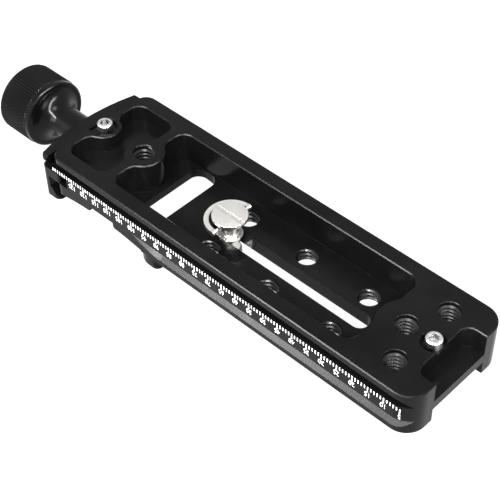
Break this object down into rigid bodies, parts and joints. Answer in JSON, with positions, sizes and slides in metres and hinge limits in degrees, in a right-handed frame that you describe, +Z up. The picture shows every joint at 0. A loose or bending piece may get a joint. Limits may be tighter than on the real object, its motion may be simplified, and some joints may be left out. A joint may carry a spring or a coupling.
{
  "type": "macro focusing rail",
  "caption": "Slotted aluminium sliding rail with a knob-driven dovetail clamp under one end, a captive ring screw in its slot, tapped holes and a millimetre scale.",
  "frame": {"origin": "centre of the bottom of the part's box, under the rail", "axes": "+X from the clamp knob to the rail's free end, +Y to the rail's far long side, +Z up out of the pockets"},
  "size_m": [0.1676, 0.038, 0.0218],
  "materials": {
    "black_anodised": "fine blasted, black anodised",
    "knob_anodised": "straight knurl, black anodised",
    "nickel": "nickel plated, satin",
    "screw_steel": "stainless, turned",
    "spring_steel": "drawn wire",
    "washer_brass": "plain"
  },
  "bodies": {
    "rail": {"rail_body": "black_anodised", "stop_screw_knob_end": "screw_steel", "stop_screw_free_end": "screw_steel", "jaw_spring_near": "spring_steel", "jaw_spring_far": "spring_steel"},
    "jaw": {"moving_jaw": "black_anodised", "guide_pin_near": "screw_steel", "guide_pin_far": "screw_steel", "thrust_washer": "washer_brass"},
    "knob": {"knob": "knob_anodised", "lead_screw": "screw_steel", "knob_grub_screw": "screw_steel"},
    "carriage": {"camera_screw_washer": "nickel"},
    "camera_screw": {"camera_screw": "nickel"},
    "ring": {"d_ring": "nickel"}
  },
  "joints": [
    {"name": "jaw_slide", "type": "slide", "parent": "rail", "child": "jaw", "axis": [-1, 0, 0], "range_m": [-0.002, 0.005], "deforming": ["jaw_spring_near", "jaw_spring_far"]},
    {"name": "knob_turn", "type": "hinge", "parent": "jaw", "child": "knob", "pos_m": [-0.06865, 0, 0.0109], "axis": [-1, 0, 0], "range_deg": [-1030, 2575]},
    {"name": "camera_slide", "type": "slide", "parent": "rail", "child": "carriage", "axis": [1, 0, 0], "range_m": [-0.0052, 0.0448]},
    {"name": "camera_screw_turn", "type": "hinge", "parent": "carriage", "child": "camera_screw", "pos_m": [0.00505, 0, 0.0104], "axis": [0, 0, 1], "continuous": true},
    {"name": "ring_fold", "type": "hinge", "parent": "camera_screw", "child": "ring", "pos_m": [0.00535, 0, 0.0152], "axis": [0, 1, 0], "range_deg": [0, 180]}
  ],
  "couplings": [
    {"joint": "knob_turn", "follows": "jaw_slide", "rad_per_m": 8976}
  ]
}
